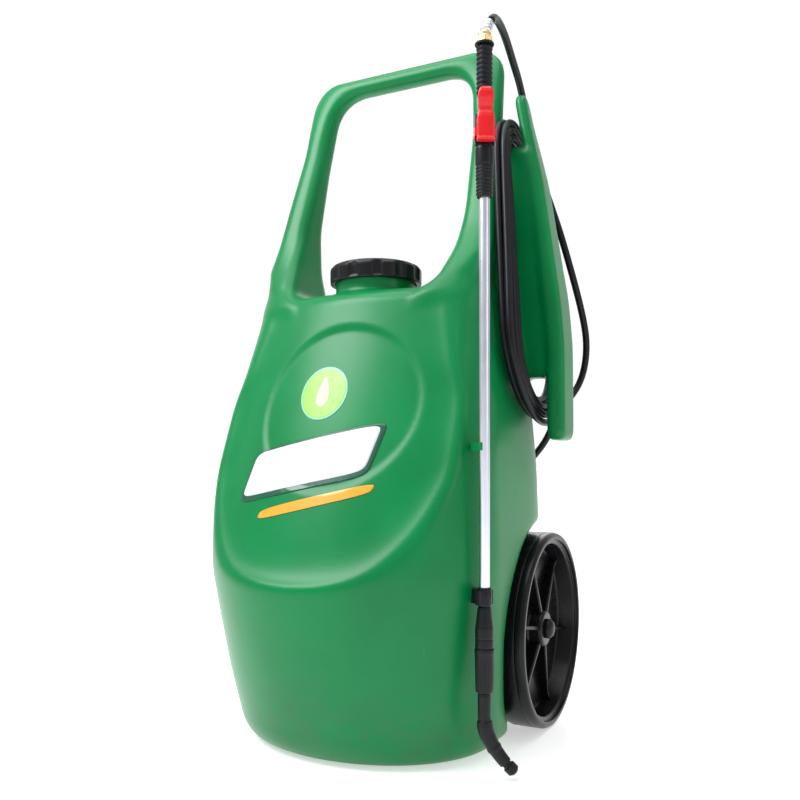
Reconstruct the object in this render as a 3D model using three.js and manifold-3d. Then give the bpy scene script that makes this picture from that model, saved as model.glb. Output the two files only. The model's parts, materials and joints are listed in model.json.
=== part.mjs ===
// A wheeled garden sprayer: a moulded tank that stands on its base and two wheels, with a
// tall handle, a battery pump behind it, and a trigger lance on a long coiled hose.
// Millimetres. X runs across the cart, Y from front to rear and Z up. The origin is the
// middle of the flat base.
import * as THREE from 'three';
import { mergeVertices } from 'three/addons/utils/BufferGeometryUtils.js';
import Module from 'manifold-3d';

const wasm = await Module();
wasm.setup();

// ---- driving dimensions ------------------------------------------------------------------

const GAP = 0.3; // left between neighbours that touch
const WALL = 5; // tank wall
const TANK_TOP = 660;

// Level outlines of the tank. Each is an ellipse in front of its centre line and a squarish
// curve behind it: height, half width, furthest front, centre line and furthest rear.
const TANK_LEVELS = [
  { z: 0, half: 158, front: -148, centre: -5, rear: 170 },
  { z: 10, half: 176, front: -164, centre: -8, rear: 184 },
  { z: 30, half: 190, front: -180, centre: -12, rear: 190 },
  { z: 110, half: 204, front: -207, centre: -25, rear: 190 },
  { z: 200, half: 213, front: -236, centre: -38, rear: 190 },
  { z: 262, half: 221, front: -251, centre: -45, rear: 190 },
  { z: 398, half: 220, front: -249, centre: -45, rear: 190 },
  { z: 491, half: 215, front: -212, centre: -28, rear: 176 },
  { z: 537, half: 211, front: -165, centre: -18, rear: 158 },
  { z: 602, half: 203, front: -127, centre: -5, rear: 125 },
  { z: TANK_TOP, half: 189, front: -97, centre: 0, rear: 92 },
];
const FRONT_POWER = 2; // an ellipse
const REAR_POWER = 7; // nearly square, with round corners

// The front panel leans back over the belly and is crowned from side to side.
const PANEL_FOOT = { y: -250, z: 250 };
const PANEL_LEAN = Math.atan(0.388);
const PANEL_CROWN = 730; // across ^2 / crown = how far the panel falls back
const PANEL_REACH = 300;

const WHEEL = { radius: 150, width: 55, across: 209.5, y: 145, z: 150 };
const AXLE_RADIUS = 8;
const ARCH_RADIUS = 165;
const ARCH_INSIDE = 172; // the wheel arches start this far from the middle

const BAY = { half: 158, y: 98, top: 300 }; // room for pump and battery between the wheels
const BAY_CLEAR = 16.5; // how far the tank's inside keeps above the bay, past its wall

const NECK = { outer: 61, inner: 51, top: 699 };
const LID = { radius: 70, inner: 61.6, bottom: 679, top: 708, deck: 5 };

const LANCE = { x: 224, y: -120, turn: THREE.MathUtils.degToRad(27) };
const HOSE_RADIUS = 5.5;

// ---- materials ---------------------------------------------------------------------------

const finish = (color, roughness, metalness = 0) =>
  new THREE.MeshStandardMaterial({ color, roughness, metalness });

const green = finish(0x118a4b, 0.5);
const black = finish(0x17181b, 0.45);
const rubber = finish(0x141416, 0.75);
const red = finish(0xd01a1c, 0.35);
const steel = finish(0xb9bdc2, 0.3, 1);
const aluminium = finish(0xd2d6dd, 0.35, 1);
const brass = finish(0xc9a45c, 0.3, 1);
const grey = finish(0x5b5f63, 0.5);

// ---- geometry helpers --------------------------------------------------------------------

/** The solid inside a closed geometry. */
function solidOf(geometry) {
  const bare = geometry.clone();
  bare.deleteAttribute('normal');
  bare.deleteAttribute('uv');
  const merged = mergeVertices(bare, 1e-4);
  const corners = merged.index.array;
  const kept = [];
  for (let i = 0; i < corners.length; i += 3) {
    const [a, b, c] = corners.slice(i, i + 3);
    if (a !== b && b !== c && c !== a) kept.push(a, b, c);
  }
  return new wasm.Manifold(new wasm.Mesh({
    numProp: 3,
    vertProperties: new Float32Array(merged.attributes.position.array),
    triVerts: new Uint32Array(kept),
  }));
}

/** A solid's surface as a geometry. */
function geometryOf(solid) {
  const mesh = solid.getMesh();
  const geometry = new THREE.BufferGeometry();
  geometry.setAttribute('position', new THREE.BufferAttribute(mesh.vertProperties, 3));
  geometry.setIndex(new THREE.BufferAttribute(mesh.triVerts, 1));
  return geometry;
}

/** A closed outline through corners [x, y, radius]; a corner with a radius is rounded. */
function outline(corners) {
  const shape = new THREE.Shape();
  corners.forEach(([x, y, radius = 0], i) => {
    const here = new THREE.Vector2(x, y);
    const [before, after] = [-1, 1].map((step) => {
      const [nx, ny] = corners[(i + step + corners.length) % corners.length];
      const away = new THREE.Vector2(nx, ny).sub(here);
      return away.normalize().multiplyScalar(radius).add(here);
    });
    if (i === 0) shape.moveTo(before.x, before.y);
    else shape.lineTo(before.x, before.y);
    if (radius > 0) shape.quadraticCurveTo(x, y, after.x, after.y);
  });
  shape.closePath();
  return shape;
}

const ALONG_X = new THREE.Matrix4().makeBasis(
  new THREE.Vector3(0, 1, 0), new THREE.Vector3(0, 0, 1), new THREE.Vector3(1, 0, 0));

const extruded = (shape, depth, curveSegments) =>
  new THREE.ExtrudeGeometry(shape, { depth, curveSegments, bevelEnabled: false });

/** A shape drawn in (Y, Z) and drawn out along X. */
function alongX(shape, from, to, curveSegments = 6) {
  return extruded(shape, to - from, curveSegments).applyMatrix4(ALONG_X).translate(from, 0, 0);
}

/** A shape drawn in (X, Z) and drawn out along Y. */
function alongY(shape, from, to, curveSegments = 6) {
  return extruded(shape, to - from, curveSegments).rotateX(Math.PI / 2).translate(0, to, 0);
}

/** A shape drawn in (X, Y) and drawn out along Z. */
function alongZ(shape, from, to, curveSegments = 6) {
  return extruded(shape, to - from, curveSegments).translate(0, 0, from);
}

/** A box between two corners. */
function block([x0, y0, z0], [x1, y1, z1]) {
  const box = new THREE.BoxGeometry(x1 - x0, y1 - y0, z1 - z0);
  return box.translate((x0 + x1) / 2, (y0 + y1) / 2, (z0 + z1) / 2);
}

/** A body of revolution about Z from points [radius, height]. */
function turned(points, segments = 20) {
  const closed = [...points, points[0]];
  let area = 0;
  for (let i = 0; i < points.length; i += 1) {
    area += closed[i][0] * closed[i + 1][1] - closed[i + 1][0] * closed[i][1];
  }
  const ordered = area > 0 ? points : [...points].reverse();
  const onAxis = ordered[0][0] === 0 && ordered.at(-1)[0] === 0;
  const profile = (onAxis ? ordered : [...ordered, ordered[0]])
    .map(([r, h]) => new THREE.Vector2(r, h));
  return new THREE.LatheGeometry(profile, segments).rotateX(Math.PI / 2);
}

/** A round bar between two heights on Z. */
const bar = (radius, from, to, segments = 20) =>
  turned([[0, from], [radius, from], [radius, to], [0, to]], segments);

/** A ring between two heights on Z. */
const ring = (inner, outer, from, to, segments = 24) =>
  turned([[inner, from], [outer, from], [outer, to], [inner, to]], segments);

/** Turns a piece built about Z so that it lies along X. */
const layAlongX = (geometry) => geometry.rotateY(Math.PI / 2);

/** Turns a piece built about Z so that it points to the rear. */
const layAlongY = (geometry) => geometry.rotateX(-Math.PI / 2);

/** A round tube through points. */
function tube(points, radius, steps, sides = 10) {
  const section = new THREE.Shape();
  for (let i = 0; i < sides; i += 1) {
    const angle = (2 * Math.PI * i) / sides;
    const at = [radius * Math.cos(angle), radius * Math.sin(angle)];
    if (i === 0) section.moveTo(...at);
    else section.lineTo(...at);
  }
  section.closePath();
  const path = new THREE.CatmullRomCurve3(points.map((point) => new THREE.Vector3(...point)));
  return new THREE.ExtrudeGeometry(section, { steps, extrudePath: path, bevelEnabled: false });
}

const cart = new THREE.Group();

/** Adds a named piece to a group. */
function add(name, geometry, material, group = cart) {
  const mesh = new THREE.Mesh(geometry, material);
  mesh.name = name;
  group.add(mesh);
  return mesh;
}

/** Adds a piece that is a solid. */
const addSolid = (name, solid, material, group) => add(name, geometryOf(solid), material, group);

// ---- tank --------------------------------------------------------------------------------

/** Distance from a level's centre line to its outline in one direction. */
function reach(level, angle) {
  const ahead = Math.sin(angle) < 0;
  const depth = ahead ? level.centre - level.front : level.rear - level.centre;
  const power = ahead ? FRONT_POWER : REAR_POWER;
  const across = Math.abs(Math.cos(angle) / level.half) ** power;
  const along = Math.abs(Math.sin(angle) / depth) ** power;
  return (across + along) ** (-1 / power);
}

/** The tank's levels as one closed body, each outline moved out by grow. */
function loft(levels, grow, segments = 44) {
  const rows = levels.length - 1;
  const body = new THREE.CylinderGeometry(1, 1, rows, segments, rows).rotateX(Math.PI / 2);
  const place = body.attributes.position;
  for (let i = 0; i < place.count; i += 1) {
    const level = levels[Math.round(place.getZ(i) + rows / 2)];
    const angle = Math.atan2(place.getY(i), place.getX(i));
    const onRim = Math.hypot(place.getX(i), place.getY(i)) > 0.5;
    const radius = onRim ? reach(level, angle) + grow : 0;
    place.setXYZ(i, radius * Math.cos(angle), level.centre + radius * Math.sin(angle), level.z);
  }
  return solidOf(body);
}

/** All the room behind the leaning front panel, moved back by inset. */
function behindPanel(inset) {
  const fall = PANEL_REACH ** 2 / PANEL_CROWN;
  const shape = new THREE.Shape();
  shape.moveTo(-PANEL_REACH, fall);
  shape.quadraticCurveTo(0, -fall, PANEL_REACH, fall);
  shape.lineTo(PANEL_REACH, 600);
  shape.lineTo(-PANEL_REACH, 600);
  shape.closePath();
  const room = alongZ(shape, -450, 900, 14);
  room.rotateX(-PANEL_LEAN).translate(0, PANEL_FOOT.y + inset, PANEL_FOOT.z);
  return solidOf(room);
}

/** The wheel arches, or with grow the room that the tank's inside keeps clear of them. */
function arches(grow) {
  const disc = outline([[WHEEL.y, -50], [500, -50], [500, WHEEL.z], [WHEEL.y, WHEEL.z]]);
  const parts = [-1, 1].map((side) => {
    const from = side > 0 ? ARCH_INSIDE - grow : -400;
    const to = side > 0 ? 400 : grow - ARCH_INSIDE;
    const hollow = layAlongX(bar(ARCH_RADIUS + grow, from, to, 28))
      .translate(0, WHEEL.y, WHEEL.z);
    return solidOf(hollow).add(solidOf(alongX(disc, from, to)));
  });
  return parts[0].add(parts[1]);
}

/** The tank's inside: the same levels, one wall thickness in, clear of bay and arches. */
function tankInside() {
  const floor = { ...TANK_LEVELS[1], z: WALL };
  const ceiling = { ...TANK_LEVELS.at(-1), z: TANK_TOP - WALL };
  const levels = [floor, ...TANK_LEVELS.slice(2, -1), ceiling];
  const rearRoom = block([-300, BAY.y - WALL, -50], [300, 400, BAY.top + BAY_CLEAR + WALL]);
  return loft(levels, -WALL - 1).intersect(behindPanel(WALL * 1.2))
    .subtract(solidOf(rearRoom)).subtract(arches(WALL));
}

const DRAIN = { z: 40, radius: 13 };
const SUCTION = { x: -60, z: 215 };

function buildTank() {
  const bay = solidOf(block([-BAY.half, BAY.y, -50], [BAY.half, 400, BAY.top]));
  const axleHole = solidOf(layAlongX(bar(AXLE_RADIUS + GAP, -300, 300))
    .translate(0, WHEEL.y, WHEEL.z));
  const neck = solidOf(bar(NECK.outer, TANK_TOP - 2, NECK.top, 28));
  const mouth = solidOf(bar(NECK.inner, TANK_TOP - 40, NECK.top + 20, 28));
  const drainHole = solidOf(layAlongY(bar(DRAIN.radius - 4 + GAP, BAY.y - 60, BAY.y + 10, 16))
    .translate(0, 0, DRAIN.z));
  const suctionHole = solidOf(layAlongY(bar(8 + GAP, BAY.y - 60, BAY.y + 10, 16))
    .translate(SUCTION.x, 0, SUCTION.z));
  return loft(TANK_LEVELS, 0)
    .intersect(behindPanel(0))
    .subtract(arches(0)).subtract(bay).subtract(axleHole)
    .add(neck).subtract(tankInside()).subtract(mouth)
    .subtract(drainHole).subtract(suctionHole);
}

// ---- handle arch -------------------------------------------------------------------------

/** The handle seen from the front and from the side, crossed; inset makes it smaller. */
function arch(inset) {
  const foot = inset > 0 ? TANK_TOP - 20 : TANK_TOP + GAP;
  const side = (sign) => [
    [sign * (189 - inset), foot],
    [sign * (178 - inset), 765],
    [sign * (173 - inset), 835],
    [sign * (163 - inset), 930],
    [sign * (152 - inset), 1052 - inset, 55],
  ];
  const outer = outline([...side(1), ...side(-1).reverse()]);
  const opening = outline([
    [128 + inset, foot - 30], [134 + inset, 720], [138 + inset, 790],
    [122 + inset, 1019 + inset, 48], [-122 - inset, 1019 + inset, 48],
    [-138 - inset, 790], [-134 - inset, 720], [-128 - inset, foot - 30],
  ]);
  const fromSide = outline([
    [-30 + inset, foot], [5 + inset, 760], [58 + inset, 925], [86 + inset, 1052 - inset, 12],
    [122 - inset, 1052 - inset, 12], [103 - inset, 940], [74 - inset, 790], [68 - inset, foot],
  ]);
  return solidOf(alongY(outer, -200, 300))
    .subtract(solidOf(alongY(opening, -250, 350)))
    .intersect(solidOf(alongX(fromSide, -250, 250)));
}

const addHandle = () => addSolid('handle_arch', arch(0).subtract(arch(WALL)), green);

// ---- hose saddle -------------------------------------------------------------------------

const SADDLE_WEB = { front: 66, rear: 106, bottom: 535, top: 886 };

/** A web that stands out from the tank's side, with a long blade on its end. */
function buildSaddle() {
  const { front, rear, bottom, top } = SADDLE_WEB;
  const web = solidOf(block([120, front, bottom], [236, rear, top]));
  const paddle = outline([
    [249, 447, 8], [275, 447, 8], [274, 583], [268, 650], [241, 831], [223, 917], [216, 966, 6],
    [199, 966, 6], [204, 917], [219, 831], [240, 650], [247, 583],
  ]);
  const edge = outline([
    [62, 447, 8], [124, 447, 8], [128, 583], [128, 650],
    [112, 831], [104, 966, 8], [76, 966, 8], [66, 831],
  ]);
  const webEnd = outline([
    [150, bottom], [252, bottom], [245, 650], [223, 831], [212, top], [150, top],
  ]);
  const blade = solidOf(alongY(paddle, 40, 150)).intersect(solidOf(alongX(edge, 150, 320)));
  return web.intersect(solidOf(alongY(webEnd, 0, 200))).add(blade)
    .subtract(loft(TANK_LEVELS, GAP)).subtract(arch(-GAP));
}

// ---- filler lid --------------------------------------------------------------------------

const LID_GRIPS = 12;

function buildLid() {
  const scallop = new THREE.Shape();
  const steps = LID_GRIPS * 4;
  for (let i = 0; i < steps; i += 1) {
    const angle = (2 * Math.PI * i) / steps;
    const dip = 3 * Math.max(0, Math.cos(LID_GRIPS * angle)) ** 0.6;
    const radius = LID.radius - dip;
    scallop.lineTo(radius * Math.cos(angle), radius * Math.sin(angle));
  }
  const skirt = solidOf(alongZ(scallop, LID.bottom, LID.top));
  const dome = solidOf(turned([[0, LID.bottom], [LID.radius + 5, LID.bottom], [LID.radius + 5, LID.top - 5],
    [LID.radius - 6, LID.top], [0, LID.top]], 24));
  const inside = solidOf(bar(LID.inner, LID.bottom - 10, LID.top - LID.deck, 24));
  return skirt.intersect(dome).subtract(inside);
}

// ---- wheels and axle ---------------------------------------------------------------------

const WHEEL_RIBS = 6;

/** One wheel about Z: a deep dish, a closed web with ribs, and a hub. Its outer side is up. */
function buildWheel() {
  const half = WHEEL.width / 2;
  const rim = WHEEL.radius;
  const profile = [
    [AXLE_RADIUS + GAP, -half], [28, -half], [28, -14], [rim - 16, -14], [rim - 12, -half + 2],
    [rim - 4, -half], [rim, -half + 5], [rim, half - 5], [rim - 4, half], [rim - 12, half - 2],
    [rim - 16, -7], [29, -7], [26, 15], [AXLE_RADIUS + GAP, 15],
  ];
  let wheel = solidOf(turned(profile, 32));
  for (let i = 0; i < WHEEL_RIBS; i += 1) {
    const rib = alongY(outline([[24, -9], [rim - 14, -9], [rim - 14, 10], [27, 14]]), -2.5, 2.5);
    wheel = wheel.add(solidOf(rib.rotateZ((2 * Math.PI * i) / WHEEL_RIBS)));
  }
  return wheel;
}

function addRunningGear() {
  const gear = new THREE.Group();
  gear.position.set(0, WHEEL.y, WHEEL.z);
  cart.add(gear);
  const end = WHEEL.across + 22;
  add('axle', layAlongX(bar(AXLE_RADIUS, -end, end, 20)), steel, gear);
  const wheel = geometryOf(buildWheel());
  for (const [side, turn] of [['left', -1], ['right', 1]]) {
    const hub = new THREE.Group();
    hub.position.x = turn * WHEEL.across;
    hub.rotation.y = (turn * Math.PI) / 2;
    gear.add(hub);
    add(`wheel_${side}`, wheel, black, hub);
    const inner = ARCH_INSIDE - WHEEL.across;
    const spacer = ring(AXLE_RADIUS + GAP, 14, inner + GAP, -WHEEL.width / 2 - GAP);
    add(`axle_spacer_${side}`, spacer, grey, hub);
    const cap = turned([[AXLE_RADIUS + GAP, 15 + GAP], [15, 15 + GAP], [15, 20], [11, 26], [0, 27],
      [0, 22 + GAP], [AXLE_RADIUS + GAP, 22 + GAP]]);
    add(`axle_cap_${side}`, cap, black, hub);
  }
}

// ---- pump, battery and their cover -------------------------------------------------------

const TRAY = { top: 170, thick: 4, half: 151.6, front: BAY.y + 2, rear: 222 };
const COVER = { half: 155, rear: 232, top: 297, wall: 3 };
const COVER_SCREWS = [[-140, 180], [140, 180], [-140, 244], [140, 244]];
const OUTLET = { x: 122, y: 205 }; // where the hose leaves the cover

function addDrive() {
  const { top, thick, half, front, rear } = TRAY;
  const tray = solidOf(block([-half, front, top - thick], [half, rear, top]))
    .add(solidOf(block([-half, front, top - 1], [half, front + 3, top + 30])));
  addSolid('equipment_tray', tray, black);

  const battery = solidOf(block([-136, 108, top + GAP], [15, 173, top + 94]));
  const posts = [-126, -2].map((x) => solidOf(block([x, 118, top + 93], [x + 6, 130, top + 101])));
  addSolid('battery', battery.add(posts[0]).add(posts[1]), grey);

  const motor = layAlongX(turned([[0, 0], [24, 0], [25, 3], [25, 66], [20, 70], [0, 70]], 24));
  add('pump_motor', motor.translate(34, 150, top + 42), steel);
  const head = solidOf(block([104 + GAP, 122, top + 10], [140, 178, top + 70]))
    .add(solidOf(layAlongY(bar(8, -20, -12, 16)).translate(122, 134, top + 56)));
  addSolid('pump_head', head, black);
  const feet = solidOf(block([40, 126, top + GAP], [134, 174, top + 6]))
    .add(solidOf(block([48, 140, top + 5], [60, 160, top + 16])))
    .add(solidOf(block([84, 140, top + 5], [96, 160, top + 16])));
  addSolid('pump_cradle', feet, rubber);

  const outer = outline([[front + 0.5, top - thick - 8], [COVER.rear, top - thick - 8, 8],
    [COVER.rear, 262, 22], [BAY.y + 80, COVER.top, 10], [front + 0.5, COVER.top]]);
  const inner = outline([[front - 20, top - thick - 40], [COVER.rear - 3, top - thick - 40],
    [COVER.rear - 3, 261, 21], [BAY.y + 80, COVER.top - 3, 10], [front - 20, COVER.top - 3]]);
  const innerHalf = COVER.half - COVER.wall;
  const hole = (x, z, radius) => solidOf(layAlongY(bar(radius, 200, 260, 20)).translate(x, 0, z));
  const cover = solidOf(alongX(outer, -COVER.half, COVER.half))
    .subtract(solidOf(alongX(inner, -innerHalf, innerHalf)))
    .subtract(solidOf(block([-95 - GAP, 215, 214 - GAP], [-65 + GAP, 260, 240 + GAP])))
    .subtract(hole(-30, 227, 9 + GAP))
    .subtract(solidOf(bar(8 + GAP, 270, 320, 20).translate(OUTLET.x, OUTLET.y, 0)));
  addSolid('rear_cover', cover.subtract(screwHoles()), black);
  addScrews();
  addSwitch();
}

function screwHoles() {
  const holes = COVER_SCREWS.map(([x, z]) =>
    solidOf(layAlongY(bar(2.5, 210, 250, 12)).translate(x, 0, z)));
  return holes.reduce((all, next) => all.add(next));
}

function addScrews() {
  COVER_SCREWS.forEach(([x, z], i) => {
    const screw = turned([[0, -14], [2.1, -14], [2.1, GAP], [5, GAP], [4, 3], [0, 3.4]], 12);
    add(`cover_screw_${i + 1}`, layAlongY(screw).translate(x, COVER.rear, z), steel);
  });
}

function addSwitch() {
  const bezel = solidOf(block([-95, 224, 214], [-65, COVER.rear, 240]))
    .add(solidOf(block([-98, COVER.rear + GAP - 0.1, 211], [-62, COVER.rear + 3, 243])))
    .add(solidOf(block([-94, COVER.rear - 1, 215], [-66, COVER.rear + 2, 239])))
    .subtract(solidOf(block([-90, 227, 218], [-70, 250, 236])));
  addSolid('switch_bezel', bezel, black);
  const paddle = outline([[227.6, 220], [COVER.rear + 3, 218.6], [COVER.rear + 4.4, 227],
    [COVER.rear + 7, 235.4], [227.6, 234]]);
  add('rocker_switch', alongX(paddle, -89.4, -70.6), red);
  const socket = turned([[5, -14], [9, -14], [9, GAP], [12, GAP], [12, 3], [5, 3]], 20);
  add('charge_socket', layAlongY(socket).translate(-30, COVER.rear, 227), grey);
  const plug = solidOf(turned([[0, -6], [4.6, -6], [4.6, 3 + GAP], [12, 3 + GAP], [11, 6], [0, 6]], 20));
  const lug = solidOf(block([-3, 10, 3 + GAP], [3, 19, 5.6]));
  const cap = geometryOf(plug.add(lug));
  add('socket_cap', cap.rotateX(-Math.PI / 2).translate(-30, COVER.rear, 227), rubber);
}

// ---- plumbing ----------------------------------------------------------------------------

function addPlumbing() {
  const stem = DRAIN.radius - 4.4;
  const head = DRAIN.radius + 5;
  const plug = turned([
    [0, -20], [stem, -20], [stem, GAP], [head, GAP], [head, 7], [8, 12], [0, 12],
  ], 16);
  add('drain_plug', layAlongY(plug).translate(0, BAY.y, DRAIN.z), black);

  const barb = turned([
    [3, -12], [8, -12], [8, GAP], [11, GAP], [11, 8], [6.2, 10], [5.2, 30], [3, 30],
  ]);
  add('outlet_barb', barb.translate(OUTLET.x, OUTLET.y, COVER.top + GAP), brass);
  const feed = [
    [122, 191, 226.5], [122, 198, 232], [122, 205, 246], [122, 205, 262], [122, 205, 284.4],
  ];
  add('delivery_pipe', tube(feed, 5, 8), rubber);
  const elbow = solidOf(layAlongY(bar(6.5, 178 + GAP, 185, 16)).translate(122, 0, 226));
  addSolid('pump_elbow', elbow, brass);

  const tail = turned([[4, -30], [8, -30], [8, -2], [4, -2]], 16);
  add('suction_nozzle', layAlongY(tail).translate(SUCTION.x, BAY.y + 9, SUCTION.z), brass);
}

// ---- lance, trigger and nozzle -----------------------------------------------------------

const GUN = { collar: 749, valve: 815, grip: 884, nut: 948, tail: 960 };

/** A knurled or ribbed bar: rings of height pitch between a large and a small radius. */
function ribbed(large, small, from, to, rings, bore = 0) {
  const pitch = (to - from) / rings;
  const points = [[bore, from]];
  for (let i = 0; i < rings; i += 1) {
    const base = from + i * pitch;
    points.push([large, base + 0.01 * pitch], [large, base + 0.6 * pitch]);
    points.push([small, base + 0.75 * pitch]);
  }
  points.push([small, to], [bore, to]);
  return turned(points, 12);
}

function addLance() {
  const lance = new THREE.Group();
  lance.position.set(LANCE.x, LANCE.y, 0);
  lance.rotation.z = LANCE.turn;
  cart.add(lance);

  add('lance_tube', ring(5.5, 7, 225, 775, 20), aluminium, lance);
  add('lance_collar', ribbed(12, 10.5, GUN.collar, GUN.valve - GAP, 6, 7 + GAP), black, lance);

  const valve = solidOf(block([-9, -7, GUN.valve], [9, 11, GUN.grip - 5]))
    .add(solidOf(block([-12.5, -8, GUN.valve + 2], [-9.1 + 0.5, 6, GUN.valve + 40])))
    .add(solidOf(block([9.1 - 0.5, -8, GUN.valve + 2], [12.5, 6, GUN.valve + 40])))
    .subtract(solidOf(layAlongX(bar(1.8, -20, 20, 12)).translate(0, -4, GUN.valve + 12)))
    .subtract(solidOf(bar(5, GUN.valve - 1, GUN.valve + 20, 16)));
  addSolid('valve_body', valve, black, lance);
  add('trigger_pin', layAlongX(bar(1.5, -12.4, 12.4, 12)).translate(0, -4, GUN.valve + 12), steel, lance);

  const lever = outline([[-9, 816], [-22, 816, 3], [-22, 852, 3], [-19.5, 859, 3], [-25.5, 871, 6],
    [-22.5, 884, 3], [-17, 884, 2], [-16.6, 866], [-12.5, 858], [-9, 850]]);
  const cheeks = outline([[-12, GUN.valve + 7], [0, GUN.valve + 7, 3], [0, GUN.valve + 18, 3],
    [-12, GUN.valve + 22]]);
  const hinge = solidOf(layAlongX(bar(1.8, -20, 20, 12)).translate(0, -4, GUN.valve + 12));
  const lug = (side) => solidOf(alongX(cheeks, side > 0 ? 12.8 : -15, side > 0 ? 15 : -12.8));
  const trigger = solidOf(alongX(lever, -9.5, 9.5))
    .subtract(solidOf(block([-9.7, -11.6, 800], [9.7, 20, 857])))
    .add(solidOf(block([-15, -14, GUN.valve + 6], [15, -9.5, GUN.valve + 24])))
    .add(lug(1)).add(lug(-1));
  addSolid('trigger_lever', trigger.subtract(hinge), red, lance);

  add('gun_grip', ribbed(10.5, 9, GUN.grip - 5 + GAP, GUN.nut - 4, 10), black, lance);
  add('grip_flange', bar(12.5, GUN.nut - 4 + GAP, GUN.nut - GAP, 20), black, lance);
  add('swivel_nut', bar(11, GUN.nut, GUN.tail - GAP, 6), brass, lance);

  const tail = new THREE.Group();
  tail.position.set(0, 0, GUN.tail);
  tail.rotation.set(-0.62, 0, -LANCE.turn, 'ZYX');
  lance.add(tail);
  const ferrule = turned([
    [0, 4], [4, 4], [7.2, 6], [7.2, 12], [6.4, 13], [7.2, 14], [7.2, 26], [0, 26],
  ], 18);
  add('hose_ferrule', ferrule, steel, tail);

  add('nozzle_collet', ribbed(9.5, 8.3, 225, 249, 4, 7 + GAP), black, lance);
  const body = turned([[0, 171], [12, 171], [12, 199], [11, 202], [8, 224], [0, 224]]);
  add('nozzle_body', body, black, lance);
  add('nozzle_sleeve', ribbed(13, 12, 114.5, 171 - GAP, 7), black, lance);
  const neckPoints = [[0, 0, 114.2], [0, 0, 84], [2, 0, 66], [9, 0, 49], [19, 0, 34], [27, 0, 24]];
  add('nozzle_elbow', tube(neckPoints, 8.6, 8, 10), black, lance);
  const tip = new THREE.Group();
  tip.position.set(27.5, 0, 23.4);
  tip.rotation.y = Math.PI * 0.75;
  lance.add(tip);
  const cone = turned([[0, 0.4], [6, 0.4], [6, 4], [8.4, 5], [8.4, 14], [5, 17], [0, 17]], 18);
  add('nozzle_tip', cone, black, tip);
}

const CLIP_TURN = THREE.MathUtils.degToRad(-25);

/** Spring clips on short posts, that grip the lance from the side of the tank. */
function addClips() {
  const clips = [
    { name: 'upper', z: 430, bore: 7, reachBack: 34, high: 5, finish: green },
    { name: 'lower', z: 236, bore: 9.5, reachBack: 40, high: 9, finish: black },
  ];
  for (const { name, z, bore, reachBack, high, finish: material } of clips) {
    const jaws = solidOf(ring(bore + GAP, bore + 2.5, -high, high, 28))
      .subtract(solidOf(block([bore * 0.45, -30, -20], [40, 30, 20])))
      .add(solidOf(block([-reachBack, -high * 0.6, -high], [-bore - 2, high * 0.6, high])));
    const place = new THREE.Matrix4().makeRotationZ(CLIP_TURN).setPosition(LANCE.x, LANCE.y, z);
    const placed = solidOf(geometryOf(jaws).applyMatrix4(place));
    const tank = loft(TANK_LEVELS, GAP).intersect(behindPanel(-GAP));
    addSolid(`lance_clip_${name}`, placed.subtract(tank), material);
  }
}

// ---- hose --------------------------------------------------------------------------------

const HOSE_LEAD = [
  [225, -101, 985], [224, -93, 994], [221, -75, 1003], [217, -45, 1009], [212, -5, 1006],
  [206, 37, 997], [201, 80, 985], [197, 112, 968], [197, 136, 940], [204, 146, 895],
  [219, 150, 835], [234, 158, 775], [248, 176, 710], [258, 200, 652], [262, 216, 600],
  [259, 212, 550], [252, 190, 500], [246, 160, 466],
];
const HOSE_TAIL = [
  [214, 200, 492], [204, 215, 462], [190, 221, 432], [168, 222, 400], [145, 216, 372],
  [130, 208, 352], [122.6, 205, 330],
];
const COIL = { lean: Math.atan(46 / 462), x: 221.5, z: 455, thick: 20 };

function addHose() {
  add('hose_lead', tube(HOSE_LEAD, HOSE_RADIUS, 32, 8), rubber);
  add('hose_tail', tube(HOSE_TAIL, HOSE_RADIUS, 9, 8), rubber);
  const shape = new THREE.Shape();
  shape.setFromPoints(new THREE.SplineCurve([
    [80, 932], [34, 906], [6, 830], [-14, 750], [-36, 620], [-22, 528], [32, 474], [88, 458], [160, 482],
    [214, 540], [232, 620], [206, 740], [166, 850], [124, 912], [80, 932],
  ].map(([y, z]) => new THREE.Vector2(y, z))).getPoints(48).slice(0, -1));
  const hole = new THREE.Path();
  hole.setFromPoints([
    [44, 890], [108, 890], [150, 760], [168, 640], [150, 560], [92, 500], [60, 506], [36, 560],
    [38, 700],
  ].map(([y, z]) => new THREE.Vector2(y, z)));
  shape.holes.push(hole);
  const coil = alongX(shape, 0, COIL.thick, 1)
    .translate(0, 0, -COIL.z).rotateY(-COIL.lean).translate(COIL.x, 0, COIL.z);
  addSolid('hose_coil', solidOf(coil), rubber);
}

// ---- the whole cart ----------------------------------------------------------------------

addSolid('tank_body', buildTank(), green);
addHandle();
addSolid('hose_saddle', buildSaddle(), green);
addSolid('filler_lid', buildLid(), black);
add('lid_gasket',
  ring(NECK.inner + 1, NECK.outer - 1, NECK.top + GAP, LID.top - LID.deck - GAP), rubber);
addRunningGear();
addDrive();
addPlumbing();
addLance();
addClips();
addHose();

export default cart;
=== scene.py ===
"""A wheeled garden sprayer: moulded tank, hose saddle, coiled hose, trigger lance and wheels.

Lengths in the tables are millimetres and become metres as the meshes are made. X runs across the
cart, Y from front to rear and Z up.
"""
import json
import math

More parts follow.
